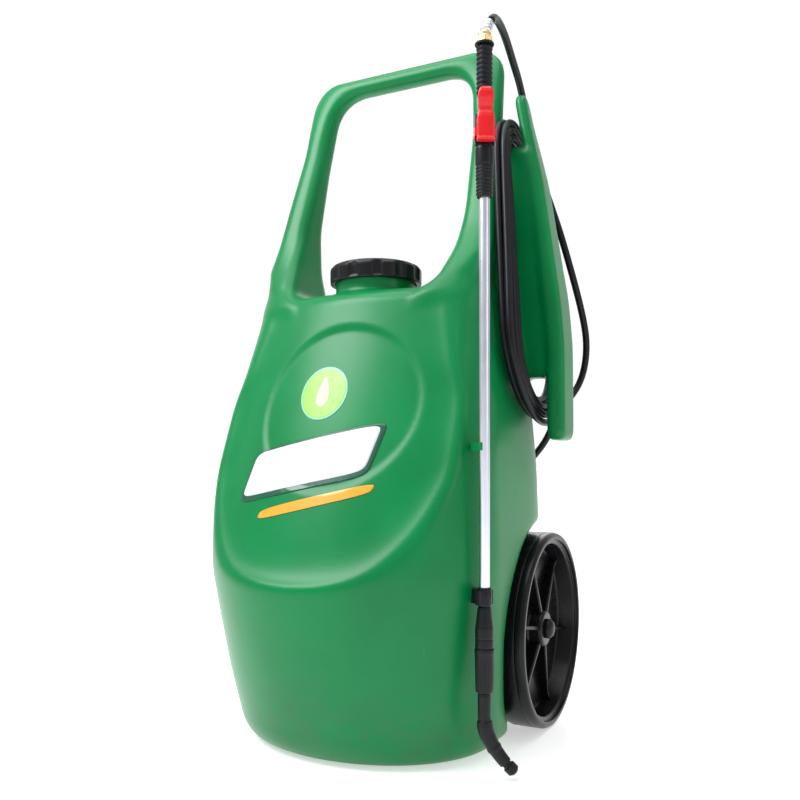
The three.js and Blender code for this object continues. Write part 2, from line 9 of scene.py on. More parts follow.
import bmesh
import bpy
import numpy as np
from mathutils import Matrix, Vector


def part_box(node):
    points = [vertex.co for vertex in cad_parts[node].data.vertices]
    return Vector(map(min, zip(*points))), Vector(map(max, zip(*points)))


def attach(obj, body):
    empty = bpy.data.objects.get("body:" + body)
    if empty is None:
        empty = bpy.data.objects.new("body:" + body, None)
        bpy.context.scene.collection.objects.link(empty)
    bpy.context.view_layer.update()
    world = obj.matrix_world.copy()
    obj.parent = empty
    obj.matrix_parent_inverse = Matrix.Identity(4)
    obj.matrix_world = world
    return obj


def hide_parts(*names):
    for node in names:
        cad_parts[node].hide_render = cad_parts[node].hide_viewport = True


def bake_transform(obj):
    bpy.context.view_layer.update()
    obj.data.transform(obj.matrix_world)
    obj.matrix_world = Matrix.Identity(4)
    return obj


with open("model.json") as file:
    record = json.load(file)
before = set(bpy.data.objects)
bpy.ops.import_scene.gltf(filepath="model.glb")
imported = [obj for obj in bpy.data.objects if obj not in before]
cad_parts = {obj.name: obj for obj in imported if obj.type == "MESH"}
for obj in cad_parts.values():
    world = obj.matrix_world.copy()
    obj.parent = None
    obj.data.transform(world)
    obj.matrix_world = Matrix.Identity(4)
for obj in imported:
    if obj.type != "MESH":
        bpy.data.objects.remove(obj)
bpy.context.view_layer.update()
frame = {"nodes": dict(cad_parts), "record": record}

MM = 0.001
TURN = 2 * math.pi


# ---- camera, light and floor -----------------------------------------------------------------

def set_camera():
    """A level camera that looks a little to the left of the cart's front."""
    lens = bpy.data.cameras.new("camera")
    lens.lens = 38.25
    lens.sensor_width = 36
    lens.shift_y = 0.0775
    camera = bpy.data.objects.new("camera", lens)
    camera.location = (0.623, -1.142, 0.410)
    camera.rotation_euler = (math.radians(90), 0, math.radians(27))
    bpy.context.collection.objects.link(camera)
    bpy.context.scene.camera = camera


def add_light(name, place, target, size, power, colour=(1, 1, 1)):
    """A square soft light at place that shines at target."""
    lamp = bpy.data.lights.new(name, "AREA")
    lamp.shape = "RECTANGLE"
    lamp.size, lamp.size_y = size
    lamp.energy = power
    lamp.color = colour
    light = bpy.data.objects.new(name, lamp)
    light.location = place
    aim = np.array(target, float) - np.array(place, float)
    across = math.hypot(aim[0], aim[1])
    light.rotation_euler = (math.atan2(across, -aim[2]), 0, math.atan2(-aim[0], aim[1]))
    bpy.context.collection.objects.link(light)


set_camera()
add_light("key", (-1.35, -1.45, 2.75), (0, 0, 0.6), (1.5, 1.5), 96, (0.93, 0.97, 1.0))
add_light("top", (0.1, -0.3, 2.9), (0, 0, 0.5), (2.2, 2.2), 46, (0.95, 0.98, 1.0))
add_light("side", (2.6, -0.4, 1.3), (0.1, 0, 0.5), (0.7, 1.8), 8)
add_light("back", (-0.9, 2.4, 1.8), (0, 0, 0.5), (1.6, 1.6), 14)


# ---- materials -------------------------------------------------------------------------------

class Value:
    """A socket or a number in a material's maths. + - * and comparisons add Math nodes."""

    def __init__(self, shop, socket):
        self.shop = shop
        self.socket = socket

    def maths(self, operation, *values, swap=False):
        """One Math node on this value and others."""
        inputs = [self, *values]
        if swap:
            inputs.reverse()
        return self.shop.node("ShaderNodeMath", {"operation": operation}, dict(enumerate(inputs)))

    def __add__(self, other):
        return self.maths("ADD", other)

    def __mul__(self, other):
        return self.maths("MULTIPLY", other)

    def __sub__(self, other):
        return self.maths("SUBTRACT", other)

    def __rsub__(self, other):
        return self.maths("SUBTRACT", other, swap=True)

    def __pow__(self, other):
        return self.maths("POWER", other)

    __radd__ = __add__
    __rmul__ = __mul__

    def above(self, edge, blur):
        """1 where this value is above edge and 0 below, over a band blur wide."""
        return self.shop.node("ShaderNodeMapRange", {"interpolation_type": "SMOOTHSTEP"}, {
            "Value": self, "From Min": edge - blur / 2, "From Max": edge + blur / 2})


class Finish:
    """A material under construction: its nodes, and the Principled shader that they feed."""

    def __init__(self, name):
        self.material = bpy.data.materials.new(name)
        self.material.use_nodes = True
        self.tree = self.material.node_tree
        self.shader = self.tree.nodes["Principled BSDF"]
        self.place = self.node("ShaderNodeTexCoord", {}, {}, "Object")

    def node(self, kind, settings, inputs, output=0):
        """A node of a kind: its settings first, then what its sockets take."""
        node = self.tree.nodes.new(kind)
        for key, value in settings.items():
            setattr(node, key, value)
        for key, value in inputs.items():
            self.join(node.inputs[key], value)
        return Value(self, node.outputs[output])

    def join(self, socket, value):
        """Feeds a socket with a link or a plain value."""
        if isinstance(value, Value):
            self.tree.links.new(value.socket, socket)
        elif isinstance(value, (int, float)) or socket.type == "VECTOR":
            socket.default_value = value
        else:
            socket.default_value = (*value[:3], 1)

    def noise(self, scale, detail=3, roughness=0.5, stretch=None):
        """Noise of a number of cells per metre, in the object's own place."""
        where = self.place
        if stretch:
            where = self.node("ShaderNodeMapping", {}, {"Vector": self.place, "Scale": stretch})
        return self.node("ShaderNodeTexNoise", {}, {
            "Vector": where, "Scale": scale, "Detail": detail, "Roughness": roughness})

    def height(self):
        """How far up a point is, in metres."""
        return self.node("ShaderNodeSeparateXYZ", {}, {"Vector": self.place}, "Z")

    def mix(self, amount, low, high):
        """A colour between low and high."""
        node = self.tree.nodes.new("ShaderNodeMix")
        node.data_type = "RGBA"
        self.join(node.inputs["Factor"], amount)
        self.join(node.inputs[6], low)
        self.join(node.inputs[7], high)
        return Value(self, node.outputs[2])

    def edges(self):
        """About 0.5 on flat stretches and higher on outer edges."""
        return self.node("ShaderNodeNewGeometry", {}, {}, "Pointiness")

    def bump(self, height, depth, strength=1.0):
        """A fine relief of a depth in metres."""
        return self.node("ShaderNodeBump", {}, {
            "Height": height, "Distance": depth, "Strength": strength})

    def done(self, **sockets):
        """Sets the shader's sockets, with _ for a space, and gives the material."""
        for key, value in sockets.items():
            self.join(self.shader.inputs[key.replace("_", " ")], value)
        return self.material


def moulded_green():
    """Rotomoulded polyethylene: soft sheen, fine orange peel, faint cloudy colour and scuffs."""
    f = Finish("moulded_green")
    cloud = f.noise(7, 4)
    peel = f.noise(420, 2)
    ripple = f.noise(22, 2)
    scuffs = f.noise(60, 5, 0.7, (1, 1, 0.12)).above(0.68, 0.06)
    colour = f.mix(cloud.above(0.5, 0.5), (0.0001, 0.150, 0.038), (0.0001, 0.185, 0.050))
    low = (0.10 - f.height()).above(0.0, 0.12)
    colour = f.mix(low * f.noise(35, 5).above(0.5, 0.3) * 0.25, colour, (0.05, 0.10, 0.05))
    colour = f.mix(scuffs * 0.10, colour, (0.10, 0.34, 0.20))
    return f.done(Base_Color=colour, Roughness=cloud * 0.08 + peel * 0.06 + scuffs * 0.08 + 0.25,
                  Specular_IOR_Level=0.23, Normal=f.bump(peel * 0.25 + ripple, 0.0007, 0.35),
                  Subsurface_Weight=0.03, Subsurface_Scale=0.008)


def plain_plastic(name, colour, rough, grain=900, depth=0.00010, worn=(0.05, 0.05, 0.055),
                  shine=0.22):
    """Injection-moulded plastic: fine grain, faint sheen variation and paler rubbed edges."""
    f = Finish(name)
    cloud = f.noise(30, 4)
    fine = f.noise(grain, 2)
    rubbed = f.edges().above(0.56, 0.06) * cloud.above(0.5, 0.3)
    colour = f.mix(cloud, tuple(0.8 * c for c in colour), tuple(1.2 * c for c in colour))
    return f.done(Base_Color=f.mix(rubbed * 0.35, colour, worn),
                  Roughness=cloud * 0.14 + rough - 0.05,
                  Specular_IOR_Level=shine, Normal=f.bump(fine, depth, 0.5))


def metal(name, colour, rough, stretch=(1, 1, 1), grain=500):
    """Bare metal with fine marks drawn out along one way."""
    f = Finish(name)
    marks = f.noise(grain, 3, 0.6, stretch)
    cloud = f.noise(25, 3)
    tone = f.mix(cloud, tuple(0.86 * c for c in colour), colour)
    return f.done(Base_Color=tone, Metallic=1.0,
                  Roughness=marks * 0.16 + cloud * 0.10 + rough - 0.1,
                  Normal=f.bump(marks, 0.00004, 0.5))


GREEN = moulded_green()
BLACK = plain_plastic("black_moulded", (0.0055, 0.0055, 0.007), 0.36)
LID_BLACK = plain_plastic("lid_black", (0.005, 0.005, 0.006), 0.34, 700, 0.00014)
WHEEL_BLACK = plain_plastic("wheel_black", (0.0045, 0.0042, 0.0052), 0.24, 160, 0.00012,
                            (0.03, 0.03, 0.035))
GREY = plain_plastic("grey_moulded", (0.12, 0.125, 0.13), 0.45)
RED = plain_plastic("red_moulded", (0.60, 0.006, 0.009), 0.28, 600, 0.00006,
                    (0.75, 0.08, 0.07), 0.4)
GRIP = plain_plastic("grip_rubber", (0.006, 0.006, 0.011), 0.45, 1200, 0.0001)
RUBBER = plain_plastic("soft_rubber", (0.010, 0.010, 0.011), 0.62, 1100, 0.00012)
BATTERY = plain_plastic("battery_case", (0.05, 0.052, 0.056), 0.5, 700, 0.00016)
HOSE = plain_plastic("hose_black", (0.0045, 0.0042, 0.0065), 0.33, 260, 0.00012,
                     (0.03, 0.03, 0.035))
STEEL = metal("zinc_plate", (0.62, 0.63, 0.65), 0.34)
ALUMINIUM = metal("satin_tube", (0.70, 0.71, 0.80), 0.30, (1, 1, 0.03))
BRASS = metal("turned_brass", (0.83, 0.62, 0.30), 0.28, (1, 1, 0.2))

SLOTS = {"tank": GREEN, "lid": LID_BLACK, "rubber": RUBBER, "steel": STEEL, "wheel": WHEEL_BLACK,
         "grey_plastic": GREY, "black_plastic": BLACK, "battery_case": BATTERY, "red_plastic": RED,
         "brass": BRASS, "aluminium": ALUMINIUM, "grip": GRIP, "hose": HOSE}


# ---- mesh making -----------------------------------------------------------------------------

def step_up(value, low, high):
    """0 below low, 1 above high and an even slope between them, with soft ends."""
    t = np.clip((value - low) / (high - low), 0, 1)
    return t * t * (3 - 2 * t)


def make(name, points, quads, material, body, smooth=True):
    """An object from points in millimetres and faces, that rides on a body if one is named.

    Points that meet are merged, so poles and seams close, and faces are turned to point outwards.
    """
    mesh = bpy.data.meshes.new(name)
    mesh.from_pydata((np.asarray(points, float) * MM).tolist(), [], np.asarray(quads).tolist())
    work = bmesh.new()
    work.from_mesh(mesh)
    bmesh.ops.remove_doubles(work, verts=work.verts, dist=0.03 * MM)
    bmesh.ops.recalc_face_normals(work, faces=work.faces)
    work.to_mesh(mesh)
    work.free()
    mesh.materials.append(material)
    mesh.shade_smooth() if smooth else mesh.shade_flat()
    piece = bpy.data.objects.new(name, mesh)
    bpy.context.collection.objects.link(piece)
    if body:
        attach(piece, body)
    return piece


def grid_faces(rows, cols, wrap_rows=False, wrap_cols=True):
    """Quads of a grid of points, joined round where asked."""
    i, j = np.meshgrid(np.arange(rows if wrap_rows else rows - 1),
                       np.arange(cols if wrap_cols else cols - 1), indexing="ij")
    up, on = (i + 1) % rows, (j + 1) % cols
    return np.stack([i * cols + j, i * cols + on, up * cols + on, up * cols + j], -1).reshape(-1, 4)


def skin(points, wrap_rows=False, wrap_cols=True, reverse=False):
    """Flat points and quads of a grid of points, shape (rows, cols, 3)."""
    quads = grid_faces(points.shape[0], points.shape[1], wrap_rows, wrap_cols)
    return points.reshape(-1, 3), quads[:, ::-1] if reverse else quads


def rounded_profile(corners, radius=0.6, steps=4):
    """An open line through corners [r, h], with each inner corner cut by a small arc."""
    corners = np.asarray(corners, float)
    line = [corners[:1]]
    for before, here, after in zip(corners[:-2], corners[1:-1], corners[2:]):
        arms = [before - here, after - here]
        spans = [np.linalg.norm(arm) for arm in arms]
        cut = min(radius, 0.45 * min(spans))
        ends = [here + arm / span * cut for arm, span in zip(arms, spans)]
        t = np.linspace(0, 1, steps)[:, None]
        line.append((1 - t) ** 2 * ends[0] + 2 * t * (1 - t) * here + t ** 2 * ends[1])
    line.append(corners[-1:])
    return np.concatenate(line)


def turned(corners, segments=64, radius=0.6, wave=None):
    """A profile [r, h] from axis to axis carried round Z; wave(angle, r, h) may change r."""
    line = rounded_profile(corners, radius)
    angle = np.linspace(0, TURN, segments, endpoint=False)
    r = np.repeat(line[:, :1], segments, 1)
    h = np.repeat(line[:, 1:], segments, 1)
    if wave:
        r = wave(angle[None, :], r, h)
    return np.stack([r * np.cos(angle), r * np.sin(angle), h], -1)


def closed_ring(corners, segments=64, radius=0.6):
    """A closed profile [r, h] carried round Z."""
    looped = np.array([*corners, corners[0]], float)
    start = (looped[0] + looped[1]) / 2
    line = rounded_profile([start, *looped[1:], looped[1], start][:-2] + [start], radius)[:-1]
    angle = np.linspace(0, TURN, segments, endpoint=False)
    return np.stack([line[:, :1] * np.cos(angle), line[:, :1] * np.sin(angle),
                     np.repeat(line[:, 1:], segments, 1)], -1)


def turn_x(points, angle):
    """Points turned about X by an angle."""
    c, s = math.cos(angle), math.sin(angle)
    return points @ np.array([[1, 0, 0], [0, c, -s], [0, s, c]]).T


def turn_y(points, angle):
    """Points turned about Y by an angle."""
    c, s = math.cos(angle), math.sin(angle)
    return points @ np.array([[c, 0, s], [0, 1, 0], [-s, 0, c]]).T


def turn_z(points, angle):
    """Points turned about Z by an angle."""
    c, s = math.cos(angle), math.sin(angle)
    return points @ np.array([[c, -s, 0], [s, c, 0], [0, 0, 1]]).T


def smooth_line(points, step):
    """A Catmull-Rom line through points, with points about a step apart."""
    p = np.asarray(points, float)
    p = np.concatenate([2 * p[:1] - p[1:2], p, 2 * p[-1:] - p[-2:-1]])
    t = np.linspace(0, 1, 40, endpoint=False)[:, None]
    runs = []
    for a, b, c, d in zip(p[:-3], p[1:-2], p[2:-1], p[3:]):
        runs.append(0.5 * (2 * b + (c - a) * t + (2 * a - 5 * b + 4 * c - d) * t ** 2
                           + (3 * b - a - 3 * c + d) * t ** 3))
    line = np.concatenate([*runs, p[-2:-1]])
    far = np.concatenate([[0], np.cumsum(np.linalg.norm(np.diff(line, axis=0), axis=1))])
    at = np.linspace(0, far[-1], max(2, round(far[-1] / step) + 1))
    return np.stack([np.interp(at, far, line[:, k]) for k in range(3)], -1)


def frames_along(line):
    """Two unit vectors across a line at each of its points, carried along without twist."""
    ahead = np.gradient(line, axis=0)
    ahead /= np.linalg.norm(ahead, axis=1)[:, None]
    side = np.zeros_like(line)
    start = np.cross(ahead[0], (0, 0, 1.0))
    if np.linalg.norm(start) < 0.1:
        start = np.array([1.0, 0, 0])
    side[0] = start / np.linalg.norm(start)
    for i in range(1, len(line)):
        flat = side[i - 1] - ahead[i] * (side[i - 1] @ ahead[i])
        side[i] = flat / np.linalg.norm(flat)
    return side, np.cross(ahead, side)


def tube_skin(line, radius, sides=14, ends=True):
    """A round tube about a line; radius may change along it. Its ends close in a small dome."""
    side, up = frames_along(line)
    radius = np.broadcast_to(np.asarray(radius, float), len(line)).copy()
    if ends:
        line = np.concatenate([line[:1], line[:1], line, line[-1:], line[-1:]])
        side = np.concatenate([side[:1], side[:1], side, side[-1:], side[-1:]])
        up = np.concatenate([up[:1], up[:1], up, up[-1:], up[-1:]])
        radius = np.concatenate([[0.001], [radius[0] * 0.85], radius, [radius[-1] * 0.85], [0.001]])
    angle = np.linspace(0, TURN, sides, endpoint=False)[None, :, None]
    points = line[:, None] + radius[:, None, None] * (
        np.cos(angle) * side[:, None] + np.sin(angle) * up[:, None])
    return skin(points)


# ---- hose ------------------------------------------------------------------------------------

HOSE_RADIUS = 5.5
HOSE_LEAD = [
    [225, -101, 985], [224, -93, 994], [221, -75, 1003], [217, -45, 1009], [212, -5, 1006],
    [206, 37, 997], [201, 80, 985], [197, 112, 968], [197, 136, 940], [204, 146, 895],
    [221, 152, 835], [239, 163, 775], [254, 180, 710], [264, 202, 652], [268, 219, 605],
    [263, 224, 560], [251, 216, 525],
]
HOSE_TAIL = [[222, 216, 548], [219, 221, 510], [212, 223, 474], [196, 222, 440], [170, 219, 410],
             [144, 213, 384], [128, 207, 358], [122.6, 205, 330]]
COIL_TURNS = 6
COIL_START = 0.40  # of a turn past the top, over to the rear: low down behind


def hanging_loop(layer, count=240):
    """One closed loop [y, z] that hangs on the web, from its top over to the rear.

    It is a belt round two circles, a small one at the top and a large one below. Each further
    layer lies outside the last. Points are even along its length.
    """
    small, large = 46 + 4 * layer, 69 + 19 * layer
    top = np.array([84, 895 + 11.5 * layer - small])
    low = np.array([99 - 2 * layer, 503 - 12 * layer + large])
    angle = np.linspace(0, TURN, 720, endpoint=False)
    out = np.stack([np.sin(angle), np.cos(angle)], -1)
    on_top = (out @ (top - low) + small - large > 0)[:, None]
    line = np.where(on_top, top + small * out, low + large * out)
    line = np.concatenate([line, line[:1]])
    far = np.concatenate([[0], np.cumsum(np.linalg.norm(np.diff(line, axis=0), axis=1))])
    at = np.linspace(0, far[-1], count, endpoint=False)
    return np.stack([np.interp(at, far, line[:, k]) for k in range(2)], -1)


def coil_line():
    """Two columns of turns round the saddle's web: spiral in beside the blade, then out again."""
    count = 240
    loops = np.stack([hanging_loop(layer, count) for layer in range(4)])
    u = np.linspace(0, COIL_TURNS, COIL_TURNS * 60)
    half = COIL_TURNS / 2
    layer = np.abs(half - u)
    at = (u + COIL_START) * count
    low = np.floor(at).astype(int)
    part = (at - low)[:, None]
    inner = np.minimum(layer.astype(int), 2)
    deep = (layer - inner)[:, None]
    rings = [loops[inner + step, low % count] * (1 - part)
             + loops[inner + step, (low + 1) % count] * part for step in (0, 1)]
    y, z = (rings[0] * (1 - deep) + rings[1] * deep).T
    over = 0.5 + 0.5 * np.tanh((u - half) * 7)
    sway = 2.0 * np.sin(TURN * u * 0.37) * step_up(900 - z, 60, 300) * (1 - over)
    x = 221.5 - 46 / 462 * (z - 455) + 16.6 - 11.2 * over + sway
    return np.stack([x, y, z], -1)


def add_hose():
    """One hose from the lance, round the saddle and down to the pump's outlet."""
    coil = coil_line()
    line = smooth_line(np.concatenate([HOSE_LEAD, coil[2:-2], HOSE_TAIL]), 6)
    for _ in range(14):
        line[1:-1] = 0.5 * line[1:-1] + 0.25 * (line[:-2] + line[2:])
    points, quads = tube_skin(line, HOSE_RADIUS, 12)
    hose = make("hose", points, quads, HOSE, None)
    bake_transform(hose)
    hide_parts("hose_lead", "hose_coil", "hose_tail")


add_hose()


# ---- the moulding: tank, handle and hose saddle in one skin ----------------------------------

def smooth_min(a, b, k):
    """The lower of two fields, with a round blend about k wide where they cross."""
    h = np.maximum(k - np.abs(a - b), 0) / k
    return np.minimum(a, b) - h * h * k / 4


def smooth_max(a, b, k):
    """The higher of two fields, with a round blend about k wide where they cross."""
    return -smooth_min(-a, -b, k)


def profile(z, stations):
    """A width or place that follows height through stations [z, value] in soft curves."""
    stations = np.asarray(stations, float)
    heights = np.arange(-60.0, 1121.0, 4.0)
    line = np.interp(heights, stations[:, 0], stations[:, 1])
    weights = np.hanning(17)
    padded = np.concatenate([np.full(8, line[0]), line, np.full(8, line[-1])])
    return np.interp(z, heights, np.convolve(padded, weights / weights.sum(), "valid"))


TANK_HALF = [[-30, 200], [30, 205], [110, 215], [200, 219], [262, 221], [398, 216], [491, 210],
             [602, 199], [660, 190], [700, 186]]
TANK_FRONT = [[-30, -172], [30, -180], [110, -207], [200, -236], [262, -254], [398, -252],
              [491, -212], [537, -165], [602, -127], [660, -97]]
TANK_CENTRE = [[0, -10], [110, -25], [262, -45], [398, -45], [491, -28], [602, -5], [660, 0]]
TANK_REAR = [[0, 190], [398, 190], [491, 176], [537, 158], [602, 125], [660, 92]]
TANK_TOP = 660
PANEL = {"foot_y": -250, "foot_z": 250, "lean": 0.388, "crown": 730, "rim": 34, "sunk": 12}
ROUND_SINK = {"x": 12, "z": 486, "radius": 122, "deep": 3.2}
NECK = {"outer": 61, "bore": 51, "top": 699}

ARM_OUTER = [[620, 176], [660, 183], [700, 190], [765, 188], [835, 183], [930, 174], [1052, 171]]
ARM_INNER = [[640, 108], [675, 122], [720, 134], [790, 138], [900, 133], [1022, 121]]
ARM_FRONT = [[600, -100], [660, -62], [690, -42], [720, -20], [760, 2], [925, 58], [1052, 86]]
ARM_REAR = [[640, 66], [790, 74], [940, 103], [1052, 122]]
ARCH_TOP = 1052
OPENING_TOP = 1019

WEB = {"y": 86, "half": 20, "top": 886, "bottom": 535}
BLADE_TOP = 966
BLADE_FOOT = 442
BLADE_INNER = [[447, 249], [583, 247], [650, 240], [831, 219], [917, 202], [966, 192]]
BLADE_OUTER = [[447, 275], [583, 274], [650, 268], [831, 240], [917, 219], [966, 209]]
BLADE_FRONT = [[447, 62], [650, 62], [831, 66], [966, 76]]
BLADE_REAR = [[447, 124], [650, 124], [831, 112], [966, 104]]

WHEEL = {"radius": 150, "across": 209.5, "width": 55, "y": 145, "z": 150}
ARCH = {"radius": 165, "inside": 172}
BAY = {"half": 158, "y": 98, "top": 300}


def side_field(x, y, z):
    """Distance out from the tank's sides, along the level.

    Across a level the tank is an ellipse in front of its centre line and a squarish curve, of
    power 7, behind it.
    """
    half, centre = profile(z, TANK_HALF), profile(z, TANK_CENTRE)
    deep_front, deep_rear = centre - profile(z, TANK_FRONT), profile(z, TANK_REAR) - centre
    across, along = np.abs(x) / half, y - centre
    front = np.hypot(across, along / deep_front)
    rear = (across ** 7 + (np.abs(along) / deep_rear) ** 7) ** (1 / 7)
    size = np.maximum(np.where(along < 0, front, rear), 1e-3)
    return np.hypot(x, along) * (1 - 1 / size)


def panel_field(x, y, z):
    """Distance out from the front panel: a leaning plane that falls back with x squared."""
    lean = PANEL["foot_y"] + PANEL["lean"] * (z - PANEL["foot_z"]) + x ** 2 / PANEL["crown"]
    return (lean - y) / math.hypot(1, PANEL["lean"])


def tank_field(x, y, z):
    """Signed distance, near enough, from the tank's skin: below 0 inside.

    The panel is sunk inside a rim that rounds into the sides, with a shallow round dish in it.
    """
    side = side_field(x, y, z)
    rim = np.clip(-side / PANEL["rim"], 0, 1)
    panel = panel_field(x, y, z) + PANEL["sunk"] * rim * (2 - rim)
    from_sink = np.hypot(x - ROUND_SINK["x"], (z - ROUND_SINK["z"]) * 1.05)
    panel = panel + ROUND_SINK["deep"] * step_up(ROUND_SINK["radius"] - from_sink, -6, 8)
    tank = smooth_max(side, panel, 9)
    tank = smooth_max(tank, z - TANK_TOP, 22)
    return smooth_max(tank, -z, 41)


def handle_field(x, y, z):
    """The arch: a tall slab with round corners, less its opening, all edges well rounded."""
    width = np.abs(x)
    slab = smooth_max(width - profile(z, ARM_OUTER), z - ARCH_TOP, 50)
    slab = smooth_max(slab, profile(z, ARM_FRONT) - y, 22)
    slab = smooth_max(slab, y - profile(z, ARM_REAR), 22)
    opening = smooth_max(width - profile(z, ARM_INNER), z - OPENING_TOP, 54)
    slab = smooth_max(slab, -opening, 20)
    sink_in = step_up(690 - z, 0, 120)
    slab = smooth_max(slab, panel_field(x, y, z) + 48 * sink_in, 14)
    slab = smooth_max(slab, side_field(x, y, z) - 2 + 26 * sink_in - 60 * step_up(z, 690, 790), 14)
    return np.maximum(slab, 560 - z)


def saddle_field(x, y, z):
    """The web that the hose turns round, with a half-round top, and the blade that keeps it on."""
    round_top = np.hypot(y - WEB["y"], np.maximum(z - WEB["top"] + WEB["half"], 0)) - WEB["half"]
    web = smooth_max(round_top, WEB["bottom"] - z, 14)
    web = smooth_max(web, x - profile(z, BLADE_OUTER) + 4, 6)
    web = np.maximum(web, 150 - x)
    blade = smooth_max(profile(z, BLADE_INNER) - x, x - profile(z, BLADE_OUTER), 7)
    flat = smooth_max(profile(z, BLADE_FRONT) - y, y - profile(z, BLADE_REAR), 6)
    flat = smooth_max(flat, z - BLADE_TOP, 18)
    flat = smooth_max(flat, BLADE_FOOT - z, 16)
    return web, smooth_max(blade, flat, 9)


def moulding_field(x, y, z):
    """All of the moulding: joined where it grows together, cut where wheels and pump go."""
    web, blade = saddle_field(x, y, z)
    arms = smooth_min(handle_field(x, y, z), smooth_min(web, blade, 3), 10)
    whole = smooth_min(tank_field(x, y, z), arms, 22)
    from_axis = np.hypot(x, y)
    neck = smooth_max(from_axis - NECK["outer"], z - NECK["top"], 3)
    whole = smooth_min(whole, np.maximum(neck, 600 - z), 8)
    well = smooth_max(from_axis - NECK["bore"], 560 - z, 30)
    inside = (np.sqrt((x / 125) ** 2 + ((y - 8) / 72) ** 2 + ((z - 560) / 82) ** 2) - 1) * 72
    whole = smooth_max(whole, -smooth_min(well, inside, 10), 3)
    wheel_room = np.hypot(y - WHEEL["y"], z - WHEEL["z"]) - ARCH["radius"]
    wheel_room = smooth_max(wheel_room, ARCH["inside"] - np.abs(x), 10)
    whole = smooth_max(whole, -wheel_room, 12)
    bay = smooth_max(np.abs(x) - BAY["half"], BAY["y"] - y, 10)
    bay = smooth_max(bay, z - BAY["top"], 10)
    return smooth_max(whole, -bay, 6)


def gradient(field, points, reach=0.4):
    """The way a field rises at points, by differences."""
    slopes = []
    for axis in range(3):
        shift = np.zeros(3)
        shift[axis] = reach
        slopes.append(field(*(points + shift).T) - field(*(points - shift).T))
    return np.stack(slopes, -1) / (2 * reach)


def onto_skin(field, points, rounds=3):
    """Moves points to where the field is 0, along its slope."""
    for _ in range(rounds):
        slope = gradient(field, points)
        steep = np.maximum((slope ** 2).sum(1), 0.05)
        points = points - np.clip(field(*points.T) / steep, -3, 3)[:, None] * slope
    return points


def net_of(field, low, high, cell):
    """Points and quads of the surface where a field is 0.

    Space is cut in cubes. A cube that the surface crosses gets one point, at the mean of the
    crossings on its edges, and each crossed edge joins the four cubes round it in one quad. Then
    points are evened out between their neighbours and moved onto the surface.
    """
    axes = [np.arange(a, b + cell, cell) for a, b in zip(low, high)]
    value = field(*np.meshgrid(*axes, indexing="ij"))
    inside = value < 0
    count = [n - 1 for n in value.shape]
    total, hits = np.zeros((*count, 3)), np.zeros(count)
    for axis in range(3):
        others = [k for k in range(3) if k != axis]
        for p in (0, 1):
            for q in (0, 1):
                start = [slice(0, n) for n in count]
                start[others[0]] = slice(p, p + count[others[0]])
                start[others[1]] = slice(q, q + count[others[1]])
                end = list(start)
                end[axis] = slice(1, 1 + count[axis])
                a, b = value[tuple(start)], value[tuple(end)]
                crossed = (a < 0) != (b < 0)
                part = np.where(crossed, a / np.where(crossed, a - b, 1), 0)
                total[..., axis] += part
                total[..., others[0]] += p * crossed
                total[..., others[1]] += q * crossed
                hits += crossed
    used = hits > 0
    number = np.full(count, -1)
    number[used] = np.arange(used.sum())
    cells = np.argwhere(used)
    points = np.array(low) + (cells + total[used] / hits[used][:, None]) * cell
    quads = []
    for axis in range(3):
        b, c = (axis + 1) % 3, (axis + 2) % 3
        near, far = [slice(1, n) for n in count], [slice(1, n) for n in count]
        near[axis], far[axis] = slice(0, count[axis]), slice(1, count[axis] + 1)
        goes_in = inside[tuple(near)].astype(int) - inside[tuple(far)].astype(int)
        for way in (1, -1):
            at = np.argwhere(goes_in == way)
            at[:, b] += 1
            at[:, c] += 1
            ring = []
            for p, q in ((0, 0), (-1, 0), (-1, -1), (0, -1)):
                corner = at.copy()
                corner[:, b] += p
                corner[:, c] += q
                ring.append(number[tuple(corner.T)])
            ring = np.stack(ring, -1)
            quads.append(ring if way > 0 else ring[:, ::-1])
    quads = np.concatenate(quads)
    ends = np.concatenate([quads[:, [0, 1]], quads[:, [1, 2]], quads[:, [2, 3]], quads[:, [3, 0]]])
    ends = np.concatenate([ends, ends[:, ::-1]])
    links = np.bincount(ends[:, 0], minlength=len(points))[:, None]
    for _ in range(3):
        mean = np.stack([np.bincount(ends[:, 0], points[ends[:, 1], k], len(points))
                         for k in range(3)], -1)
        points = onto_skin(field, 0.4 * points + 0.6 * mean / links, 2)
    return onto_skin(field, points), quads


def add_moulding():
    """Tank, handle and saddle."""
    points, quads = net_of(moulding_field, (-232, -266, -6), (284, 202, 1060), 4.7)
    piece = make("moulding", points, quads, GREEN, "root")
    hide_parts("tank_body", "handle_arch", "hose_saddle")


add_moulding()


# ---- panel decoration ------------------------------------------------------------------------

def panel_place(x, z):
    """How far forward the tank's skin is at places across and up its front."""
    outside = np.full(np.shape(x), -290.0)
    inside = np.full(np.shape(x), -40.0)
    for _ in range(24):
        middle = (outside + inside) / 2
        is_in = tank_field(x, middle, z) < 0
        inside = np.where(is_in, middle, inside)
        outside = np.where(is_in, outside, middle)
    return inside


